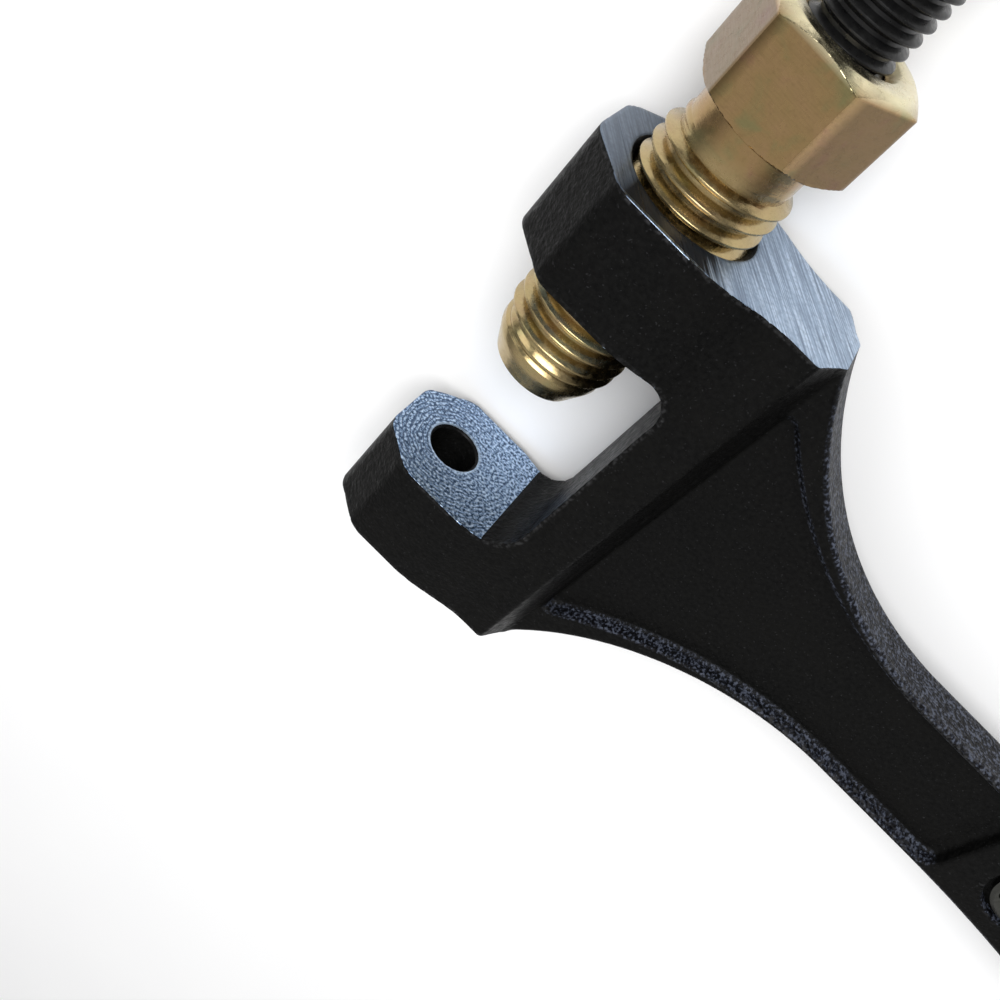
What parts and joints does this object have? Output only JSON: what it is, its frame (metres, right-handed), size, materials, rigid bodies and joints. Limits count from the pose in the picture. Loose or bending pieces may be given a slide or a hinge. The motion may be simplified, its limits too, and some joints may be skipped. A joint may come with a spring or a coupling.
{
  "type": "chain breaker tool",
  "caption": "Hand tool for roller chain: cast C-frame with flat handle, hex-headed threaded clamp sleeve, and a drive screw with sliding tommy bar that pushes a punch pin into an anvil hole.",
  "frame": {"origin": "on the screw axis at the anvil face of the lower jaw, at mid thickness; the tool lies flat on its back", "axes": "+Y up the screw axis towards the screw head, +X along the handle towards its end, +Z out of the front face"},
  "size_m": [0.1905, 0.1272, 0.0228],
  "materials": {
    "black_casting": "black oxide over a fine cast grain, with ground jaw faces",
    "yellow_zinc_steel": "yellow chromated zinc plating",
    "black_oxide_steel": "oiled black oxide",
    "bright_steel": "bright drawn and turned",
    "satin_steel": "plain zinc plating, slightly dulled",
    "spring_steel": "bright spring wire",
    "hardened_steel": "ground and hardened"
  },
  "bodies": {
    "frame": {"frame_body": "black_casting", "cover_screw": "satin_steel", "cover_washer": "spring_steel", "cover_nut": "bright_steel", "spare_pin": "hardened_steel"},
    "seat": {"spring_seat": "bright_steel", "return_spring": "spring_steel"},
    "sleeve": {"clamp_sleeve": "yellow_zinc_steel"},
    "punch": {"punch_pin": "hardened_steel", "pin_carrier": "bright_steel", "thrust_ball": "hardened_steel"},
    "screw": {"drive_screw": "black_oxide_steel", "detent_ball": "hardened_steel", "detent_spring": "spring_steel", "detent_plug": "black_oxide_steel"},
    "bar": {"tommy_bar": "bright_steel", "bar_cap_left": "black_oxide_steel", "bar_cap_right": "black_oxide_steel"},
    "cover": {"cover_plate": "bright_steel"}
  },
  "joints": [
    {"name": "sleeve_travel", "type": "slide", "parent": "frame", "child": "seat", "axis": [0, -1, 0], "range_m": [-0.012, 0.006]},
    {"name": "sleeve_turn", "type": "hinge", "parent": "seat", "child": "sleeve", "pos_m": [0, 0, 0], "axis": [0, -1, 0], "range_deg": [-2160, 1080]},
    {"name": "pin_travel", "type": "slide", "parent": "sleeve", "child": "punch", "axis": [0, -1, 0], "range_m": [0, 0.0225], "deforming": ["return_spring"]},
    {"name": "screw_turn", "type": "hinge", "parent": "punch", "child": "screw", "pos_m": [0, 0, 0], "axis": [0, -1, 0], "range_deg": [0, 5400]},
    {"name": "bar_slide", "type": "slide", "parent": "screw", "child": "bar", "axis": [1, 0, 0], "range_m": [-0.028, 0.028]},
    {"name": "cover_swing", "type": "hinge", "parent": "frame", "child": "cover", "pos_m": [0.0904, 0.01647, 0], "axis": [0, 0, 1], "range_deg": [0, 110]}
  ],
  "couplings": [
    {"joint": "sleeve_turn", "follows": "sleeve_travel", "rad_per_m": 3141.6},
    {"joint": "screw_turn", "follows": "pin_travel", "rad_per_m": 4188.8}
  ]
}
